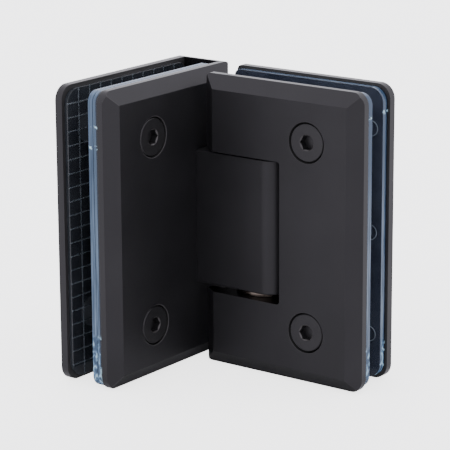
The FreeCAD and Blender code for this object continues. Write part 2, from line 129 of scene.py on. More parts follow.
# Socket screws
HEAD_GAP = 0.32 * MM           # ring left open round a head in its countersink
HEAD_RIM = 0.22 * MM           # chamfer round a head
SOCKET_REACH = 3.0 * MM        # the chamfer round a hexagon lies within this of the screw's middle
SOCKET_SLOPE = (0.2, 0.95)     # and leans this much
SCREW_SIDES = 96
CLAMP_SOCKET_W = 4.2 * MM
CLAMP_SOCKET_DEPTH = 2.4 * MM
KNUCKLE_SOCKET_W = 3.0 * MM
KNUCKLE_SOCKET_DEPTH = 1.6 * MM
SOCKET_MOUTH = (1.15, 0.85)    # the chamfer's outer and inner radius, by the hexagon's corners
SOCKET_MOUTH_DEPTH = 0.3       # and its depth
SOCKET_MOUTH_SINK = -0.55      # its foot, by its depth

# Detent springs
SPRING_WIRE = 0.55 * MM        # radius of the wire
SPRING_CLEAR = 0.05 * MM       # round a coil
SPRING_TURNS = 5.0
SPRING_STEPS = 32              # of a turn

# Gasket mouldings
GRID_CELLS_ACROSS = 11
GRID_CELLS_UP = 21
GRID_RIB = 0.22 * MM           # radius of a rib
GRID_RISE = 0.22 * MM          # of the ribs above the pad
RING_RADIUS = 2.25 * MM
RING_LINE = 0.15 * MM          # radius of a ring's cord
RING_FROM_END = 4.0 * MM       # ring's centre from the gasket's free end
RING_LIFT = 0.7 * MM           # of the middle ring above mid height
RING_PITCH = 31.3 * MM
RING_COUNT = 3
RING_STEPS = 48
RIB_SIDES = 8
CORD_SIDES = 12

# Clear gasket edges, in the shares and levels that the streaks group uses
EDGE_CLOUDS = 34.0
STREAK_FLOOR = 0.05            # tone of the darkest streak
CLOUD_FLOOR = 0.6              # and of the darkest cloud
LOW_GAIN = (-26.0 * MM, 4.0 * MM, 1.0, 0.75)    # streaks fade from the first level to the second
TOP_SHADE = (6.0 * MM, 26.0 * MM)               # the shade of the top comes in between these levels
TOP_RIM = 0.9 * MM             # the painted light on the top rim comes in over this height
# Painted reflections in the low part of a gasket edge, as glassy swells
SWELL_DRAW = (1.0, 1.0, 0.62)  # the swells are drawn out upwards
SWELL_SCALE = 600.0
SWELL_TWIST = 1.4
SWELL_DETAIL = 0.6
SWELL_TONE = (0.36, 0.6, 0.1)  # a swell is lit from the first value to the second, from this tone up
SWELL_CREASE = 0.47            # a crease runs where the noise has this value
CREASE_WIDTH = 0.05
CREASE_TONE = 0.2
SWELL_FADE = 2.0 * MM          # the swells come in over this height
SWELL_GLINT = (0.6, 0.66)      # a swell glints between these values
SWELL_GLINT_SHARE = 0.5
SWELL_RELIEF = 0.6
FOOT_FADE = 0.7                # the painted shade at the foot ends from this share of its height
# Painted glints on the gasket edges
GLINT_SCALE = 1100.0
GLINT_SPOTS = (0.5, 0.66)      # a spot glints between these values
GLINT_FADE = (0.1 * MM, 0.9 * MM)
NOISE_LOW = 0.3                # nearly all of a noise lies between these
NOISE_HIGH = 0.7
COAT_CLOUDS = 55.0
MOULD_CLOUDS = 120.0


# Meshes

def link(mesh, name):
    piece = bpy.data.objects.new(name, mesh)
    bpy.context.scene.collection.objects.link(piece)
    return piece


def settle(piece):
    """Turns a piece's modifiers into plain mesh."""
    graph = bpy.context.evaluated_depsgraph_get()
    mesh = bpy.data.meshes.new_from_object(piece.evaluated_get(graph))
    piece.modifiers.clear()
    piece.data = mesh
    return piece


def hand_over(piece, slot, *nodes):
    """Puts a finished piece in the place of its solids, on their body."""
    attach(piece, frame["nodes"][nodes[0]]["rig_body"])
    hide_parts(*nodes)
    return piece


def rides_with(piece, node):
    """Puts an added piece on the body of a solid that stays or is replaced by another piece."""
    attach(piece, frame["nodes"][node]["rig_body"])
    return piece


def merged_copy(node):
    """A solid's own mesh with its loose triangles merged into whole faces."""
    form = bmesh.new()
    form.from_mesh(frame["nodes"][node].data)
    bmesh.ops.remove_doubles(form, verts=form.verts[:], dist=MERGE)
    bmesh.ops.dissolve_limit(form, angle_limit=FLAT_ANGLE, verts=form.verts[:], edges=form.edges[:])
    mesh = bpy.data.meshes.new(node + "_form")
    form.to_mesh(mesh)
    form.free()
    if "custom_normal" in mesh.attributes:
        mesh.attributes.remove(mesh.attributes["custom_normal"])
    return mesh


def rounded_piece(mesh, name, width, material, edge_material=None):
    """A piece with all its sharp edges rounded, in a material of their own if one is given."""
    for face in mesh.polygons:
        face.use_smooth = True
    mesh.materials.clear()
    mesh.materials.append(material)
    piece = link(mesh, name)
    bevel = piece.modifiers.new("edge_round", "BEVEL")
    bevel.width = width
    bevel.segments = ROUND_STEPS
    bevel.limit_method = "ANGLE"
    bevel.angle_limit = EDGE_ANGLE
    bevel.harden_normals = True
    if edge_material:
        bevel.material = len(mesh.materials)
        mesh.materials.append(edge_material)
    return settle(piece)


# Shader groups

def wire(tree, kind, values=None, **settings):
    """A node with its settings, its values by socket name or number, and links where a value is a socket."""
    node = tree.nodes.new(kind)
    for key, value in settings.items():
        setattr(node, key, value)
    for key, value in (values or {}).items():
        if isinstance(value, bpy.types.NodeSocket):
            tree.links.new(value, node.inputs[key])
        else:
            node.inputs[key].default_value = value
    return node


def calc(tree, operation, first, second=0.0):
    return wire(tree, "ShaderNodeMath", {0: first, 1: second}, operation=operation).outputs[0]


def product(tree, first, second):
    return calc(tree, "MULTIPLY", first, second)


def apart(tree, first, second):
    """How far two values lie from each other."""
    return calc(tree, "ABSOLUTE", calc(tree, "SUBTRACT", first, second))


def drawn_out(tree, place, factors):
    return wire(tree, "ShaderNodeVectorMath", {0: place, 1: factors}, operation="MULTIPLY").outputs["Vector"]


def mixed(tree, share, first, second):
    """A colour between two, by the second one's share."""
    return wire(tree, "ShaderNodeMix", {0: share, 6: first, 7: second}, data_type="RGBA").outputs[2]


def ramp(tree, value, start, end, low=0.0, high=1.0, way="SMOOTHSTEP"):
    """Goes from a low to a high result while a value goes from start to end."""
    values = {"Value": value, "From Min": start, "From Max": end, "To Min": low, "To Max": high}
    return wire(tree, "ShaderNodeMapRange", values, interpolation_type=way).outputs["Result"]


def new_group(name, kind, inputs, outputs):
    """An empty node group with named sockets, each given as a name, a socket type and a value."""
    tree = bpy.data.node_groups.new(name, kind)
    for label, socket_type, value in inputs:
        socket = tree.interface.new_socket(label, in_out="INPUT", socket_type=socket_type)
        if value is not None:
            socket.default_value = value
    for label, socket_type in outputs:
        tree.interface.new_socket(label, in_out="OUTPUT", socket_type=socket_type)
    return tree, tree.nodes.new("NodeGroupInput"), tree.nodes.new("NodeGroupOutput")


def noise(tree, place, scale, detail=2.0, roughness=0.5):
    values = {"Vector": place, "Scale": scale, "Detail": detail, "Roughness": roughness}
    return wire(tree, "ShaderNodeTexNoise", values).outputs["Fac"]


def spread(tree, value, low, high):
    """Spreads a noise value, which stays near the middle, over a low and a high value."""
    return ramp(tree, value, NOISE_LOW, NOISE_HIGH, low, high, "LINEAR")


NUMBER = "NodeSocketFloat"
COLOUR = "NodeSocketColor"
PLACE = "NodeSocketVector"
FINISH_OUT = [("Color", COLOUR), ("Roughness", NUMBER), ("Height", NUMBER)]


def close_finish(tree, result, colour, rough, height):
    tree.links.new(colour, result.inputs["Color"])
    tree.links.new(rough, result.inputs["Roughness"])
    tree.links.new(height, result.inputs["Height"])
    return tree


def coat_grain_group():
    """Fine grain and slow clouds of a matt black coat."""
    tree, given, result = new_group(
        "coat_grain", "ShaderNodeTree",
        [("Place", PLACE, None), ("Grain Scale", NUMBER, 2400.0),
         ("Dark", COLOUR, (0.004, 0.004, 0.0045, 1)), ("Light", COLOUR, (0.008, 0.008, 0.0088, 1)),
         ("Smooth", NUMBER, 0.4), ("Rough", NUMBER, 0.5)],
        FINISH_OUT,
    )
    coat = given.outputs
    grain = noise(tree, coat["Place"], coat["Grain Scale"], 3.0, 0.6)
    cloud = spread(tree, noise(tree, coat["Place"], COAT_CLOUDS, 3.0), 0.0, 1.0)
    tone = mixed(tree, cloud, coat["Dark"], coat["Light"])
    return close_finish(tree, result, tone, spread(tree, grain, coat["Smooth"], coat["Rough"]), grain)


def moulded_haze_group():
    """Slow waves and faint clouds of a clear moulding."""
    tree, given, result = new_group(
        "moulded_haze", "ShaderNodeTree",
        [("Place", PLACE, None), ("Wave Scale", NUMBER, 260.0),
         ("Clear", COLOUR, (0.62, 0.8, 0.95, 1)), ("Hazy", COLOUR, (0.75, 0.86, 0.95, 1)),
         ("Smooth", NUMBER, 0.03), ("Rough", NUMBER, 0.12)],
        FINISH_OUT,
    )
    mould = given.outputs
    waves = noise(tree, mould["Place"], mould["Wave Scale"], 1.0)
    haze = spread(tree, noise(tree, mould["Place"], MOULD_CLOUDS, 4.0, 0.6), 0.0, 1.0)
    tone = mixed(tree, haze, mould["Clear"], mould["Hazy"])
    rough = ramp(tree, haze, 0.0, 1.0, mould["Smooth"], mould["Rough"], "LINEAR")
    return close_finish(tree, result, tone, rough, waves)


def turned_lines_group():
    """Fine lines left by turning or drawing, across a direction that the place is stretched along."""
    tree, given, result = new_group(
        "turned_lines", "ShaderNodeTree",
        [("Place", PLACE, None), ("Stretch", PLACE, (60.0, 60.0, 4000.0)),
         ("Dark", COLOUR, (0.4, 0.4, 0.4, 1)), ("Light", COLOUR, (0.6, 0.6, 0.6, 1)),
         ("Smooth", NUMBER, 0.2), ("Rough", NUMBER, 0.4)],
        FINISH_OUT,
    )
    metal = given.outputs
    lines = noise(tree, drawn_out(tree, metal["Place"], metal["Stretch"]), 1.0)
    tone = mixed(tree, spread(tree, lines, 0.0, 1.0), metal["Dark"], metal["Light"])
    return close_finish(tree, result, tone, spread(tree, lines, metal["Smooth"], metal["Rough"]), lines)


def gasket_streaks_group():
    """Edge of a clear gasket: streaks along it, painted shade at its foot on the plate, a top darkened by
    painted shade with painted light on its rim, painted reflections as glassy swells in the low part, and
    painted glints, which also glow, over and under the upper sleeve's level."""
    tree, given, result = new_group(
        "gasket_streaks", "ShaderNodeTree",
        [("Place", PLACE, None), ("Stretch", PLACE, (70.0, 70.0, 70.0)),
         ("From Plate", NUMBER, 0.0), ("Shaded Foot", NUMBER, 0.8 * MM),
         ("Foot Shade", COLOUR, (0.012, 0.022, 0.045, 1)), ("Dark", COLOUR, (0.055, 0.11, 0.2, 1)),
         ("Light", COLOUR, (0.34, 0.44, 0.58, 1)), ("Swell", COLOUR, (0.2, 0.37, 0.6, 1)),
         ("Glint", COLOUR, (0.55, 0.84, 1.0, 1)), ("Top Shade", NUMBER, 0.6),
         ("Swells Below", NUMBER, -28.0 * MM), ("Glint Level", NUMBER, 31.4 * MM),
         ("Glint Reach", NUMBER, 3.1 * MM), ("Top Level", NUMBER, 43.2 * MM), ("Painted Top Light", NUMBER, 0.25),
         ("Smooth", NUMBER, 0.06), ("Rough", NUMBER, 0.22)],
        FINISH_OUT + [("Painted Glow", COLOUR)],
    )
    edge = given.outputs
    place = edge["Place"]
    height = wire(tree, "ShaderNodeSeparateXYZ", {"Vector": place}).outputs["Z"]

    streaks = noise(tree, drawn_out(tree, place, edge["Stretch"]), 1.0)
    clouds = noise(tree, place, EDGE_CLOUDS, 1.0)
    lines = product(tree, spread(tree, streaks, STREAK_FLOOR, 1.0), spread(tree, clouds, CLOUD_FLOOR, 1.0))
    lines = product(tree, lines, ramp(tree, height, *LOW_GAIN, "LINEAR"))

    # Painted reflections in the low part: glassy swells, lit from one tone up, with dark creases.
    swell = wire(tree, "ShaderNodeTexNoise", {
        "Vector": drawn_out(tree, place, SWELL_DRAW), "Scale": SWELL_SCALE,
        "Detail": SWELL_DETAIL, "Distortion": SWELL_TWIST,
    }).outputs["Fac"]
    lit_swell = ramp(tree, swell, *SWELL_TONE)
    crease = ramp(tree, apart(tree, swell, SWELL_CREASE), 0.0, CREASE_WIDTH, CREASE_TONE)
    whole_swells = calc(tree, "SUBTRACT", edge["Swells Below"], SWELL_FADE)
    low_part = ramp(tree, height, whole_swells, edge["Swells Below"], 1.0, 0.0)
    uneven = wire(tree, "ShaderNodeMix", {0: low_part, 2: lines, 3: product(tree, lit_swell, crease)})

    # Painted shade over the top, and painted light on its rim.
    shade = ramp(tree, height, *TOP_SHADE, 1.0, edge["Top Shade"])
    over_top = calc(tree, "SUBTRACT", height, edge["Top Level"])
    painted_top_light = ramp(tree, over_top, 0.0, TOP_RIM, 0.0, edge["Painted Top Light"])
    tone = calc(tree, "ADD", product(tree, uneven.outputs[0], shade), painted_top_light)
    band = mixed(tree, tone, edge["Dark"], mixed(tree, low_part, edge["Light"], edge["Swell"]))
    # Painted shade at the foot, where the pad lies on its plate.
    foot_shade_end = product(tree, edge["Shaded Foot"], FOOT_FADE)
    foot_shaded = mixed(tree, ramp(tree, edge["From Plate"], foot_shade_end, edge["Shaded Foot"]), edge["Foot Shade"], band)

    # Painted glints over and under the upper sleeve's level and on the brightest swells; they also glow
    # through the emission.
    off_side = apart(tree, apart(tree, height, edge["Glint Level"]), edge["Glint Reach"])
    spots = ramp(tree, noise(tree, place, GLINT_SCALE, 1.0), *GLINT_SPOTS)
    side_glint = product(tree, spots, ramp(tree, off_side, *GLINT_FADE, 1.0, 0.0))
    bright_swell = product(tree, ramp(tree, swell, *SWELL_GLINT), low_part)
    glint = calc(tree, "MAXIMUM", side_glint, product(tree, bright_swell, SWELL_GLINT_SHARE))
    tree.links.new(mixed(tree, glint, BLACK, edge["Glint"]), result.inputs["Painted Glow"])

    relief = calc(tree, "ADD", streaks, product(tree, product(tree, lit_swell, low_part), SWELL_RELIEF))
    whole = mixed(tree, glint, foot_shaded, edge["Glint"])
    return close_finish(tree, result, whole, spread(tree, streaks, edge["Smooth"], edge["Rough"]), relief)


COAT_GRAIN = coat_grain_group()
GASKET_STREAKS = gasket_streaks_group()
MOULDED_HAZE = moulded_haze_group()
TURNED_LINES = turned_lines_group()


# Materials

def finish_material(name, group, group_values, shader_values, bump_depth):
    """A material whose colour, roughness and relief come from one of the groups."""
    material = bpy.data.materials.new(name)
    material.use_nodes = True
    tree = material.node_tree
    shader = tree.nodes["Principled BSDF"]
    place = tree.nodes.new("ShaderNodeTexCoord").outputs["Object"]
    effect = tree.nodes.new("ShaderNodeGroup")
    effect.node_tree = group
    tree.links.new(place, effect.inputs["Place"])
    if "From Plate" in effect.inputs:
        reach = wire(tree, "ShaderNodeAttribute", attribute_name=FROM_PLATE)
        tree.links.new(reach.outputs["Fac"], effect.inputs["From Plate"])
        # The painted glints glow through the emission colour.
        tree.links.new(effect.outputs["Painted Glow"], shader.inputs["Emission Color"])
    for key, value in group_values.items():
        effect.inputs[key].default_value = value
    tree.links.new(effect.outputs["Color"], shader.inputs["Base Color"])
    tree.links.new(effect.outputs["Roughness"], shader.inputs["Roughness"])
    bump = wire(tree, "ShaderNodeBump", {"Height": effect.outputs["Height"], "Distance": bump_depth})
    tree.links.new(bump.outputs["Normal"], shader.inputs["Normal"])
    for key, value in shader_values.items():
        shader.inputs[key].default_value = value
    return material


SHEEN = {"IOR": 1.5, "Specular Tint": (0.98, 0.94, 1.0, 1)}
MATT_BLACK = finish_material(
    "matt_black_coat", COAT_GRAIN, {}, SHEEN, 0.004 * MM,
)
MATT_RIM = finish_material(
    "matt_black_rim", COAT_GRAIN, {"Smooth": 0.16, "Rough": 0.26}, SHEEN, 0.004 * MM,
)
# Painted shade: the coat with its reflection dimmed, for the plates' undersides.
MATT_UNDER_PAINTED_SHADE = finish_material(
    "matt_black_underside_painted_shade", COAT_GRAIN, {}, {**SHEEN, "Specular IOR Level": 0.3}, 0.004 * MM,
)
# Worn edge, lighter grey, which also stands in as a painted highlight along mitres and countersink rims.
WORN_EDGE_AND_HIGHLIGHT = finish_material(
    "matt_black_worn_edge_and_highlight", COAT_GRAIN,
    {"Dark": (0.034, 0.032, 0.033, 1), "Light": (0.055, 0.052, 0.053, 1), "Smooth": 0.3, "Rough": 0.42},
    SHEEN, 0.003 * MM,
)
# Painted light: a lighter copy of the coat for the outer plates' faces toward the glass.
GLASS_SIDE_PAINTED_LIGHT = finish_material(
    "matt_black_glass_side_painted_light", COAT_GRAIN,
    {"Dark": (0.022, 0.021, 0.022, 1), "Light": (0.034, 0.033, 0.034, 1)}, {"IOR": 1.5}, 0.004 * MM,
)
# Painted shade: a near-black coat with little reflection, for the countersinks and the floor of the door
# plate's slot.
PAINTED_SHADE_COAT = finish_material(
    "matt_black_painted_shade_in_recesses", COAT_GRAIN,
    {"Dark": (0.001, 0.001, 0.001, 1), "Light": (0.002, 0.002, 0.002, 1)},
    {"IOR": 1.5, "Specular IOR Level": 0.12}, 0.003 * MM,
)
BLACK_SCREW = finish_material(
    "black_screw", COAT_GRAIN,
    {"Grain Scale": 3200.0, "Smooth": 0.34, "Rough": 0.46,
     "Dark": (0.008, 0.008, 0.0083, 1), "Light": (0.014, 0.0138, 0.0142, 1)},
    SHEEN, 0.003 * MM,
)
# Worn socket, lighter grey, which is also a painted highlight on the chamfer round the hexagon.
WORN_SOCKET_AND_HIGHLIGHT = finish_material(
    "black_screw_worn_socket_and_highlight", COAT_GRAIN,
    {"Grain Scale": 3200.0, "Dark": (0.03, 0.028, 0.0275, 1), "Light": (0.065, 0.061, 0.06, 1),
     "Smooth": 0.25, "Rough": 0.4},
    SHEEN, 0.003 * MM,
)
CLEAR_FACE = finish_material(
    "clear_gasket_face", MOULDED_HAZE,
    {"Clear": (0.065, 0.08, 0.125, 1), "Hazy": (0.13, 0.155, 0.215, 1), "Smooth": 0.08, "Rough": 0.2},
    {"IOR": 1.5, "Transmission Weight": 0.6}, 0.008 * MM,
)
CLEAR_RING = finish_material(
    "clear_gasket_ring", MOULDED_HAZE,
    {"Clear": (0.3, 0.38, 0.48, 1), "Hazy": (0.55, 0.66, 0.76, 1), "Smooth": 0.06, "Rough": 0.2},
    {"IOR": 1.5, "Transmission Weight": 0.6}, 0.02 * MM,
)
CLEAR_RIB = finish_material(
    "clear_gasket_rib", MOULDED_HAZE,
    {"Clear": (0.36, 0.44, 0.52, 1), "Hazy": (0.5, 0.58, 0.66, 1), "Smooth": 0.08, "Rough": 0.25},
    {"IOR": 1.5, "Transmission Weight": 0.85}, 0.02 * MM,
)
CLEAR_GRID = finish_material(
    "clear_ribbed_pad", MOULDED_HAZE, {"Clear": (0.045, 0.052, 0.064, 1), "Hazy": (0.075, 0.085, 0.1, 1)},
    {"IOR": 1.5, "Transmission Weight": 0.6}, 0.008 * MM,
)
FIXED_EDGE = finish_material(
    "clear_gasket_edge_fixed", GASKET_STREAKS,
    {"Stretch": (1500.0, 70.0, 70.0), "Top Shade": 0.5, "Light": (0.34, 0.5, 0.72, 1)},
    {"IOR": 1.5, "Transmission Weight": 0.4, "Emission Strength": 0.5}, 0.03 * MM,
)
DOOR_EDGE = finish_material(
    "clear_gasket_edge_door", GASKET_STREAKS,
    {"Stretch": (70.0, 1500.0, 70.0), "Top Shade": 0.15, "Swells Below": -31.0 * MM,
     "Glint Level": 37.2 * MM, "Glint Reach": 0.0, "Painted Top Light": 0.4},
    {"IOR": 1.5, "Transmission Weight": 0.4, "Emission Strength": 0.3}, 0.03 * MM,
)
FIXED_LIP = finish_material(
    "clear_gasket_lip_fixed", GASKET_STREAKS,
    {"Stretch": (400.0, 70.0, 70.0), "Shaded Foot": 0.0, "Top Shade": 0.55,
     "Dark": (0.08, 0.125, 0.2, 1), "Light": (0.32, 0.43, 0.58, 1)},
    {"IOR": 1.5, "Transmission Weight": 0.45, "Emission Strength": 0.3}, 0.03 * MM,
)
DOOR_LIP = finish_material(
    "clear_gasket_lip_door", GASKET_STREAKS,
    {"Stretch": (70.0, 400.0, 70.0), "Shaded Foot": 0.0, "Top Shade": 0.2, "Swells Below": -31.0 * MM,
     "Dark": (0.06, 0.11, 0.19, 1), "Light": (0.38, 0.51, 0.68, 1),
     "Glint Level": 37.2 * MM, "Glint Reach": 0.0, "Painted Top Light": 1.0},
    {"IOR": 1.5, "Transmission Weight": 0.45, "Emission Strength": 0.3}, 0.03 * MM,
)
SOFT_SLEEVE = finish_material(
    "soft_sleeve", MOULDED_HAZE,
    {"Clear": (0.5, 0.55, 0.6, 1), "Hazy": (0.7, 0.74, 0.78, 1), "Smooth": 0.3, "Rough": 0.5},
    {"IOR": 1.5, "Transmission Weight": 0.4}, 0.02 * MM,
)
BRIGHT_STEEL = finish_material(
    "bright_steel", TURNED_LINES,
    {"Dark": (0.45, 0.45, 0.46, 1), "Light": (0.62, 0.62, 0.63, 1)},
    {"Metallic": 1.0}, 0.003 * MM,
)
SPRING_STEEL = finish_material(
    "spring_steel", TURNED_LINES,
    {"Stretch": (900.0, 900.0, 900.0), "Dark": (0.3, 0.3, 0.31, 1), "Light": (0.5, 0.5, 0.51, 1)},
    {"Metallic": 1.0}, 0.003 * MM,
)
BRONZE = finish_material(
    "bronze_washer", TURNED_LINES,
    {"Dark": (0.16, 0.125, 0.105, 1), "Light": (0.34, 0.28, 0.24, 1), "Smooth": 0.2, "Rough": 0.34},
    {"Metallic": 1.0}, 0.004 * MM,
)
BUSH_POLYMER = finish_material(
    "bush_polymer", COAT_GRAIN,
    {"Dark": (0.03, 0.03, 0.032, 1), "Light": (0.05, 0.05, 0.052, 1), "Smooth": 0.35, "Rough": 0.5},
    {"IOR": 1.49}, 0.004 * MM,
)


# Plates and block

def screw_places(node, axis):
    """The middles of a wing's two screws, in the plane across its plates."""
    low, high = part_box(node)
    across = 1 - axis
    head_r = (high[across] - low[across]) / 2
    middle = (low[across] + high[across]) / 2
    return [Vector((middle, level * (high.z - head_r))) for level in (1, -1)], head_r


COAT, WORN_AND_HIGHLIT, RIM, SHADED_RECESS, LIT_GLASS_FACE, SHADED_UNDERSIDE = range(6)


def plates():
    for node, screws, axis, glass_way in (
        ("fixed_inner_plate", "fixed_clamp_screws", 0, 0), ("fixed_outer_plate", None, 0, 1),
        ("door_inner_plate", "door_clamp_screws", 1, 0), ("door_outer_plate", None, 1, -1),
    ):
        piece = rounded_piece(merged_copy(node), node + "_coated", PLATE_ROUND, MATT_BLACK, WORN_EDGE_AND_HIGHLIGHT)
        for material in (MATT_RIM, PAINTED_SHADE_COAT, GLASS_SIDE_PAINTED_LIGHT, MATT_UNDER_PAINTED_SHADE):
            piece.data.materials.append(material)
        middles, head_r = screw_places(screws, axis) if screws else ([], 0.0)
        for face in piece.data.polygons:
            across, lean, up = (abs(face.normal[part]) for part in (1 - axis, axis, 2))
            middle = Vector((face.center[1 - axis], face.center.z))
            reach = min([(middle - place).length for place in middles], default=FAR_OFF)
            mitre = lean > MITRE_LEAN and min(across, up) > MITRE_SLOPE
            mouth = reach < head_r + MOUTH_REACH
            # Rounded mitres and countersink rims keep the worn edge, which is also a painted highlight.
            if face.material_index == WORN_AND_HIGHLIT and (mitre or mouth):
                continue
            face.material_index = COAT
            # Countersinks and the slot's floor get painted shade, the outer plates' glass-side faces painted
            # light, undersides painted shade.
            in_slot = node == "door_inner_plate" and up > FLAT_SLOPE and abs(face.center.z) < SLOT_REACH
            if reach < head_r or in_slot:
                face.material_index = SHADED_RECESS
            elif face.normal[axis] * glass_way > FLAT_SLOPE:
                face.material_index = LIT_GLASS_FACE
            elif lean < RIM_SLOPE:
                face.material_index = RIM
            elif face.normal.z < -UNDER_SLOPE:
                face.material_index = SHADED_UNDERSIDE
        hand_over(piece, "matte_black", node)
    block = rounded_piece(merged_copy("knuckle_block"), "knuckle_block_coated", BLOCK_ROUND, MATT_BLACK)
    hand_over(block, "matte_black", "knuckle_block")


# Gaskets

def pull_in(mesh, axis, low_gap, high_gap):
    """Pulls the two faces of a flat pad towards its middle."""
    levels = [vertex.co[axis] for vertex in mesh.vertices]
    low, high = min(levels), max(levels)
    middle = (low + high) / 2
    for vertex in mesh.vertices:
        if vertex.co[axis] < middle:
            vertex.co[axis] = low + low_gap
        else:
            vertex.co[axis] = high - high_gap


PAD_FACE, PAD_EDGE, PAD_LIP = range(3)


def clear_pad(node, axis, glass_side, edge_material, lip_material, on_plate=True):
    """A clear pad with streaky edges and a pale lip. Its thickness runs along an axis, to the glass side."""
    mesh = merged_copy(node)
    pull_in(mesh, axis, GASKET_CLEAR, GASKET_CLEAR)
    pad = rounded_piece(mesh, node + "_clear", GASKET_ROUND, CLEAR_FACE)
    pad.data.materials.append(edge_material)
    pad.data.materials.append(lip_material)
    for face in pad.data.polygons:
        slope = face.normal[axis] * glass_side
        if abs(slope) > FLAT_SLOPE:
            face.material_index = PAD_FACE
        else:
            face.material_index = PAD_LIP if slope > LIP_SLOPE else PAD_EDGE
    low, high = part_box(node)
    plate_level = low[axis] if glass_side > 0 else high[axis]
    reach = pad.data.attributes.new(FROM_PLATE, "FLOAT", "POINT")
    # A pad off the plate is put far off, so it gets no painted shade at its foot.
    off_plate = 0.0 if on_plate else FAR_OFF
    levels = [vertex.co[axis] for vertex in pad.data.vertices]
    reach.data.foreach_set("value", [off_plate + abs(level - plate_level) for level in levels])
    hand_over(pad, "clear_gasket", node)


def gaskets():
    clear_pad("fixed_inner_gasket", 0, -1, FIXED_EDGE, FIXED_LIP)
    clear_pad("fixed_gasket_layer", 0, -1, FIXED_EDGE, FIXED_LIP, on_plate=False)
    clear_pad("door_inner_gasket", 1, 1, DOOR_EDGE, DOOR_LIP)
    clear_pad("door_outer_gasket", 1, -1, DOOR_EDGE, DOOR_LIP)
    mesh = merged_copy("fixed_outer_gasket")
    pull_in(mesh, 0, GASKET_CLEAR, GRID_RISE)
    pad = rounded_piece(mesh, "fixed_outer_gasket_clear", SMALL_ROUND, CLEAR_GRID)
    hand_over(pad, "clear_gasket", "fixed_outer_gasket")


# Geometry trees for what repeats

def grown(name, tree, values):
    """A piece made by a geometry tree, as plain mesh."""
    piece = link(bpy.data.meshes.new(name), name)
    modifier = piece.modifiers.new(tree.name, "NODES")
    modifier.node_group = tree
    for item in tree.interface.items_tree:
        if item.item_type == "SOCKET" and item.in_out == "INPUT":
            modifier[item.identifier] = values[item.name]
    settle(piece)
    if piece.data.materials[0] is None:
        piece.data.materials.pop(index=0)
    return piece


def lift(tree, height):
    return wire(tree, "ShaderNodeCombineXYZ", {"Z": height}).outputs["Vector"]


def moved(tree, shape, height):
    return wire(tree, "GeometryNodeTransform", {
        "Geometry": shape, "Translation": lift(tree, height),
    }).outputs["Geometry"]


def pair_up(tree, shape, spacing):
    """The same shape twice, above and below the middle, along Y."""
    start = wire(tree, "ShaderNodeCombineXYZ", {"Y": product(tree, spacing, -0.5)})
    step = wire(tree, "ShaderNodeCombineXYZ", {"Y": spacing})
    points = wire(tree, "GeometryNodeMeshLine", {
        "Count": 2, "Start Location": start.outputs["Vector"], "Offset": step.outputs["Vector"],
    }, mode="OFFSET")
    return wire(tree, "GeometryNodeInstanceOnPoints", {
        "Points": points.outputs["Mesh"], "Instance": shape,
    }).outputs["Instances"]


def close_tree(tree, given, result, shape):
    """Ends a tree in plain geometry with its material."""
    whole = wire(tree, "GeometryNodeRealizeInstances", {"Geometry": shape})
    painted = wire(tree, "GeometryNodeSetMaterial", {
        "Geometry": whole.outputs["Geometry"], "Material": given.outputs["Material"],
    })
    tree.links.new(painted.outputs["Geometry"], result.inputs["Geometry"])
    return tree


LENGTH = NUMBER


def circle(tree, steps, radius):
    values = {"Resolution": steps, "Radius": radius}
    return wire(tree, "GeometryNodeCurvePrimitiveCircle", values).outputs["Curve"]


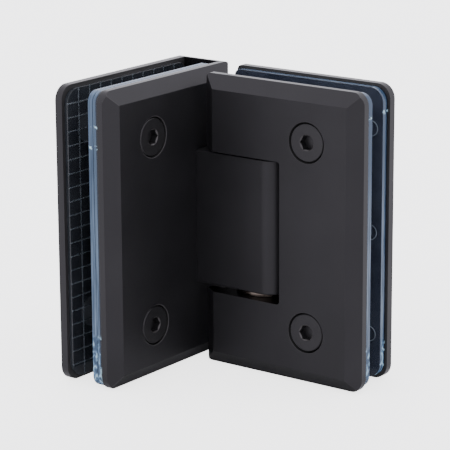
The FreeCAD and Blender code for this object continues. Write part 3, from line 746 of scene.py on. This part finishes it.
def socket_screws_tree():
    """Two countersunk socket screws. The head's face is at the origin's level and looks along +Z."""
    tree, given, result = new_group(
        "socket_screws", "GeometryNodeTree",
        [("Head Radius", LENGTH, None), ("Shank Radius", LENGTH, None), ("Length", LENGTH, None),
         ("Rim", LENGTH, None), ("Socket Width", LENGTH, None), ("Socket Depth", LENGTH, None),
         ("Spacing", LENGTH, None), ("Material", "NodeSocketMaterial", None)],
        [("Geometry", "NodeSocketGeometry")],
    )
    size = given.outputs
    rim = wire(tree, "GeometryNodeMeshCone", {
        "Vertices": SCREW_SIDES, "Radius Top": calc(tree, "SUBTRACT", size["Head Radius"], size["Rim"]),
        "Radius Bottom": size["Head Radius"], "Depth": size["Rim"],
    })
    head_depth = calc(tree, "SUBTRACT", size["Head Radius"], size["Shank Radius"])
    head = wire(tree, "GeometryNodeMeshCone", {
        "Vertices": SCREW_SIDES, "Radius Top": size["Head Radius"],
        "Radius Bottom": size["Shank Radius"], "Depth": head_depth,
    })
    shank_length = calc(tree, "SUBTRACT", size["Length"], size["Rim"])
    shank = wire(tree, "GeometryNodeMeshCylinder", {
        "Vertices": SCREW_SIDES, "Radius": size["Shank Radius"], "Depth": shank_length,
    })
    shank_middle = product(tree, calc(tree, "ADD", size["Length"], size["Rim"]), -0.5)
    body = wire(tree, "GeometryNodeMeshBoolean", operation="UNION", solver="EXACT")
    rim_foot = product(tree, size["Rim"], -1.0)
    head_foot = product(tree, calc(tree, "ADD", head_depth, size["Rim"]), -1.0)
    for shape, level in ((rim, rim_foot), (head, head_foot), (shank, shank_middle)):
        tree.links.new(moved(tree, shape.outputs["Mesh"], level), body.inputs[1])
    corner = calc(tree, "DIVIDE", size["Socket Width"], math.sqrt(3))
    hexagon = wire(tree, "GeometryNodeMeshCylinder", {
        "Vertices": 6, "Radius": corner, "Depth": product(tree, size["Socket Depth"], 2.0),
    })
    mouth_depth = product(tree, corner, SOCKET_MOUTH_DEPTH)
    mouth = wire(tree, "GeometryNodeMeshCone", {
        "Vertices": SCREW_SIDES, "Radius Top": product(tree, corner, SOCKET_MOUTH[0]),
        "Radius Bottom": product(tree, corner, SOCKET_MOUTH[1]), "Depth": mouth_depth,
    })
    sunk_mouth = moved(tree, mouth.outputs["Mesh"], product(tree, mouth_depth, SOCKET_MOUTH_SINK))
    cut = wire(tree, "GeometryNodeMeshBoolean", {
        0: body.outputs["Mesh"],
    }, operation="DIFFERENCE", solver="EXACT")
    tree.links.new(hexagon.outputs["Mesh"], cut.inputs[1])
    tree.links.new(sunk_mouth, cut.inputs[1])
    return close_tree(tree, given, result, pair_up(tree, cut.outputs["Mesh"], size["Spacing"]))


def coil_springs_tree():
    """Two round wire coils along +Z."""
    tree, given, result = new_group(
        "coil_springs", "GeometryNodeTree",
        [("Coil Radius", LENGTH, None), ("Wire Radius", LENGTH, None), ("Length", LENGTH, None),
         ("Turns", LENGTH, None), ("Spacing", LENGTH, None), ("Material", "NodeSocketMaterial", None)],
        [("Geometry", "NodeSocketGeometry")],
    )
    size = given.outputs
    path = wire(tree, "GeometryNodeCurveSpiral", {
        "Resolution": SPRING_STEPS, "Rotations": size["Turns"], "Start Radius": size["Coil Radius"],
        "End Radius": size["Coil Radius"], "Height": size["Length"],
    })
    section = circle(tree, CORD_SIDES, size["Wire Radius"])
    coil = wire(tree, "GeometryNodeCurveToMesh", {
        "Curve": path.outputs["Curve"], "Profile Curve": section, "Fill Caps": True,
    })
    return close_tree(tree, given, result, pair_up(tree, coil.outputs["Mesh"], size["Spacing"]))


def rib_grid_tree():
    """A square grid of ribs on a pad that faces +Z, left out round the two screw sleeves."""
    tree, given, result = new_group(
        "rib_grid", "GeometryNodeTree",
        [("Width", LENGTH, None), ("Height", LENGTH, None), ("Cells Across", "NodeSocketInt", None),
         ("Cells Up", "NodeSocketInt", None), ("Rib Radius", LENGTH, None),
         ("Screw Across", LENGTH, None), ("Screw Up", LENGTH, None), ("Sleeve Radius", LENGTH, None),
         ("Material", "NodeSocketMaterial", None)],
        [("Geometry", "NodeSocketGeometry")],
    )
    size = given.outputs
    net = wire(tree, "GeometryNodeMeshGrid", {
        "Size X": size["Width"], "Size Y": size["Height"],
        "Vertices X": calc(tree, "ADD", size["Cells Across"], 1.0),
        "Vertices Y": calc(tree, "ADD", size["Cells Up"], 1.0),
    })
    neighbours = wire(tree, "GeometryNodeInputMeshEdgeNeighbors")
    border = wire(tree, "FunctionNodeCompare", {
        2: neighbours.outputs["Face Count"], 3: 1,
    }, data_type="INT", operation="EQUAL")
    inner = wire(tree, "GeometryNodeDeleteGeometry", {
        "Geometry": net.outputs["Mesh"], "Selection": border.outputs["Result"],
    }, domain="EDGE", mode="EDGE_FACE")
    place = wire(tree, "GeometryNodeInputPosition").outputs["Position"]
    mirrored = wire(tree, "ShaderNodeVectorMath", {0: place}, operation="ABSOLUTE").outputs["Vector"]
    parts = wire(tree, "ShaderNodeSeparateXYZ", {"Vector": place}).outputs
    ups = wire(tree, "ShaderNodeSeparateXYZ", {"Vector": mirrored}).outputs
    across = calc(tree, "SUBTRACT", parts["X"], size["Screw Across"])
    up = calc(tree, "SUBTRACT", ups["Y"], size["Screw Up"])
    reach = wire(tree, "ShaderNodeVectorMath", {
        0: wire(tree, "ShaderNodeCombineXYZ", {"X": across, "Y": up}).outputs["Vector"],
    }, operation="LENGTH").outputs["Value"]
    near = calc(tree, "LESS_THAN", reach, size["Sleeve Radius"])
    open_net = wire(tree, "GeometryNodeDeleteGeometry", {
        "Geometry": inner.outputs["Geometry"], "Selection": near,
    }, domain="POINT", mode="ALL")
    lines = wire(tree, "GeometryNodeMeshToCurve", {"Mesh": open_net.outputs["Geometry"]})
    section = circle(tree, RIB_SIDES, size["Rib Radius"])
    ribs = wire(tree, "GeometryNodeCurveToMesh", {
        "Curve": lines.outputs["Curve"], "Profile Curve": section, "Fill Caps": True,
    })
    return close_tree(tree, given, result, ribs.outputs["Mesh"])


def moulded_rings_tree():
    """Three moulded rings in a row along Y on a pad that faces +Z."""
    tree, given, result = new_group(
        "moulded_rings", "GeometryNodeTree",
        [("Ring Radius", LENGTH, None), ("Line Radius", LENGTH, None), ("Pitch", LENGTH, None),
         ("Material", "NodeSocketMaterial", None)],
        [("Geometry", "NodeSocketGeometry")],
    )
    size = given.outputs
    ring = wire(tree, "GeometryNodeCurveToMesh", {
        "Curve": circle(tree, RING_STEPS, size["Ring Radius"]),
        "Profile Curve": circle(tree, CORD_SIDES, size["Line Radius"]),
    })
    start = wire(tree, "ShaderNodeCombineXYZ", {"Y": product(tree, size["Pitch"], -1.0)})
    step = wire(tree, "ShaderNodeCombineXYZ", {"Y": size["Pitch"]})
    points = wire(tree, "GeometryNodeMeshLine", {
        "Count": RING_COUNT, "Start Location": start.outputs["Vector"], "Offset": step.outputs["Vector"],
    }, mode="OFFSET")
    rings = wire(tree, "GeometryNodeInstanceOnPoints", {
        "Points": points.outputs["Mesh"], "Instance": ring.outputs["Mesh"],
    })
    return close_tree(tree, given, result, rings.outputs["Instances"])


def facing(place, normal):
    """The matrix that puts a piece drawn facing +Z, with +Y up, at a place facing a level direction."""
    up = Vector((0, 0, 1))
    across = up.cross(normal)
    turn = Matrix((across, up, normal)).transposed().to_4x4()
    return Matrix.Translation(place) @ turn


def placed(piece, matrix):
    piece.data.transform(matrix)
    return piece


DOOR_IN = Vector((0, -1, 0))
FIXED_IN = Vector((1, 0, 0))


def worn_and_highlit_sockets(piece, spacing):
    """Gives the chamfers round the hexagons a worn edge, lighter grey that is also a painted highlight. The
    heads still face +Z.
    """
    worn = len(piece.data.materials)
    piece.data.materials.append(WORN_SOCKET_AND_HIGHLIGHT)
    for face in piece.data.polygons:
        middle = Vector((face.center.x, abs(face.center.y) - spacing / 2))
        if SOCKET_SLOPE[0] < face.normal.z < SOCKET_SLOPE[1] and middle.length < SOCKET_REACH:
            face.material_index = worn


def clamp_screws():
    tree = socket_screws_tree()
    for node, axis, inward in (("door_clamp_screws", 1, DOOR_IN), ("fixed_clamp_screws", 0, FIXED_IN)):
        low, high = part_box(node)
        across = 1 - axis
        head_r = (high[across] - low[across]) / 2
        place = (low + high) / 2
        place[axis] = high[axis] if inward[axis] > 0 else low[axis]
        spacing = high.z - low.z - 2 * head_r
        piece = grown(node + "_head", tree, {
            "Head Radius": head_r - HEAD_GAP, "Shank Radius": head_r / 2 - HEAD_GAP,
            "Length": high[axis] - low[axis], "Rim": HEAD_RIM,
            "Socket Width": CLAMP_SOCKET_W, "Socket Depth": CLAMP_SOCKET_DEPTH,
            "Spacing": spacing, "Material": BLACK_SCREW,
        })
        worn_and_highlit_sockets(piece, spacing)
        hand_over(placed(piece, facing(place, inward)), "black_screw", node)
    return tree


def knuckle_screws(tree):
    low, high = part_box("knuckle_screws")
    head_r = (high.y - low.y) / 2
    place = (low + high) / 2
    place.x = low.x
    piece = grown("knuckle_screws_head", tree, {
        "Head Radius": head_r - HEAD_GAP, "Shank Radius": head_r / 2, "Length": high.x - low.x,
        "Rim": HEAD_RIM, "Socket Width": KNUCKLE_SOCKET_W, "Socket Depth": KNUCKLE_SOCKET_DEPTH,
        "Spacing": high.z - low.z - 2 * head_r, "Material": BRIGHT_STEEL,
    })
    hand_over(placed(piece, facing(place, -FIXED_IN)), "bright_steel", "knuckle_screws")


def detent_springs():
    low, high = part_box("detent_springs")
    coil_out = (high.y - low.y) / 2
    place = (low + high) / 2
    place.x = low.x + SPRING_WIRE
    piece = grown("detent_springs_wire", coil_springs_tree(), {
        "Coil Radius": coil_out - SPRING_WIRE - SPRING_CLEAR, "Wire Radius": SPRING_WIRE,
        "Length": high.x - low.x - 2 * SPRING_WIRE, "Turns": SPRING_TURNS,
        "Spacing": high.z - low.z - 2 * coil_out, "Material": SPRING_STEEL,
    })
    hand_over(placed(piece, facing(place, FIXED_IN)), "bright_steel", "detent_springs")


def gasket_mouldings():
    low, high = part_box("fixed_outer_gasket")
    screw_low, screw_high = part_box("fixed_clamp_screws")
    sleeve_low, sleeve_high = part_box("fixed_screw_sleeves")
    middle = (low + high) / 2
    middle.x = high.x - GRID_RIB
    sleeve_r = (sleeve_high.y - sleeve_low.y) / 2
    ribs = grown("fixed_gasket_ribs", rib_grid_tree(), {
        "Width": high.y - low.y, "Height": high.z - low.z,
        "Cells Across": GRID_CELLS_ACROSS, "Cells Up": GRID_CELLS_UP, "Rib Radius": GRID_RIB,
        "Screw Across": (screw_low.y + screw_high.y) / 2 - middle.y,
        "Screw Up": (screw_high.z - screw_low.z) / 2 - (screw_high.y - screw_low.y) / 2,
        "Sleeve Radius": sleeve_r + GRID_RIB, "Material": CLEAR_RIB,
    })
    rides_with(placed(ribs, facing(middle, FIXED_IN)), "fixed_outer_gasket")
    low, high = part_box("door_outer_gasket")
    place = Vector((high.x - RING_FROM_END, low.y, RING_LIFT))
    rings = grown("door_gasket_rings", moulded_rings_tree(), {
        "Ring Radius": RING_RADIUS, "Line Radius": RING_LINE, "Pitch": RING_PITCH, "Material": CLEAR_RING,
    })
    rides_with(placed(rings, facing(place, DOOR_IN)), "door_outer_gasket")


# Small turned and moulded parts

def small_parts():
    for node, material, slot in (
        ("upper_thrust_washer", BRONZE, "bronze_washer"), ("lower_thrust_washer", BRONZE, "bronze_washer"),
        ("upper_bush", BUSH_POLYMER, "bush_polymer"), ("lower_bush", BUSH_POLYMER, "bush_polymer"),
        ("detent_shoe", BUSH_POLYMER, "bush_polymer"), ("pivot_pin", BRIGHT_STEEL, "bright_steel"),
        ("pin_set_screws", BRIGHT_STEEL, "bright_steel"),
        ("door_screw_sleeves", SOFT_SLEEVE, "soft_sleeve"),
        ("fixed_screw_sleeves", SOFT_SLEEVE, "soft_sleeve"),
    ):
        piece = rounded_piece(merged_copy(node), node + "_finished", SMALL_ROUND, material)
        hand_over(piece, slot, node)


# Stage

def stage():
    floor_mesh = bpy.data.meshes.new("floor")
    corners = [(-1, -1), (1, -1), (1, 1), (-1, 1)]
    level = cad_low.z - FLOOR_DROP
    floor_mesh.from_pydata([(x * FLOOR_HALF, y * FLOOR_HALF, level) for x, y in corners], [], [(0, 1, 2, 3)])
    floor = link(floor_mesh, "floor")
    paper = bpy.data.materials.new("white_paper")
    paper.use_nodes = True
    tree = paper.node_tree
    shader = tree.nodes["Principled BSDF"]
    place = tree.nodes.new("ShaderNodeTexCoord").outputs["Object"]
    tone = mixed(tree, noise(tree, place, PAPER_CLOUDS), PAPER_DULL, PAPER_CLEAN)
    from_shade = wire(tree, "ShaderNodeVectorMath", {0: place, 1: SHADE_PLACE}, operation="DISTANCE")
    dim = ramp(tree, from_shade.outputs["Value"], 0.0, SHADE_REACH, SHADE_DEPTH, 0.0)
    tree.links.new(mixed(tree, dim, tone, BLACK), shader.inputs["Base Color"])
    shader.inputs["Roughness"].default_value = PAPER_ROUGH
    shader.inputs["Specular IOR Level"].default_value = 0.0
    shader.inputs["Emission Color"].default_value = WHITE
    seen = tree.nodes.new("ShaderNodeLightPath").outputs["Is Camera Ray"]
    tree.links.new(product(tree, seen, PAPER_GLOW), shader.inputs["Emission Strength"])
    floor_mesh.materials.append(paper)

    world = bpy.data.worlds.new("light_tent")
    bpy.context.scene.world = world
    world.use_nodes = True
    tent = world.node_tree
    tent.nodes["Background"].inputs["Color"].default_value = TENT_COLOUR
    seen = tent.nodes.new("ShaderNodeLightPath").outputs["Is Camera Ray"]
    strength = calc(tent, "ADD", product(tent, seen, PAPER_GLOW), TENT_LIGHT)
    tent.links.new(strength, tent.nodes["Background"].inputs["Strength"])


def camera():
    lens = bpy.data.cameras.new("camera")
    lens.sensor_width = CAMERA_SENSOR
    lens.lens = CAMERA_LENS
    lens.clip_start = CAMERA_NEAR
    lens.clip_end = CAMERA_FAR
    eye = bpy.data.objects.new("camera", lens)
    bpy.context.scene.collection.objects.link(eye)
    azimuth = math.radians(CAMERA_AZIMUTH)
    elevation = math.radians(CAMERA_ELEVATION)
    level = math.cos(elevation)
    back = Vector((math.sin(azimuth) * level, -math.cos(azimuth) * level, math.sin(elevation)))
    right = Vector((math.cos(azimuth), math.sin(azimuth), 0))
    turn = Matrix((right, back.cross(right), back)).transposed().to_4x4()
    roll = Matrix.Rotation(math.radians(CAMERA_ROLL), 4, "Z")
    eye.matrix_world = Matrix.Translation(CAMERA_PLACE) @ turn @ roll
    bpy.context.scene.camera = eye


plates()
gaskets()
knuckle_screws(clamp_screws())
detent_springs()
gasket_mouldings()
small_parts()
stage()
camera()
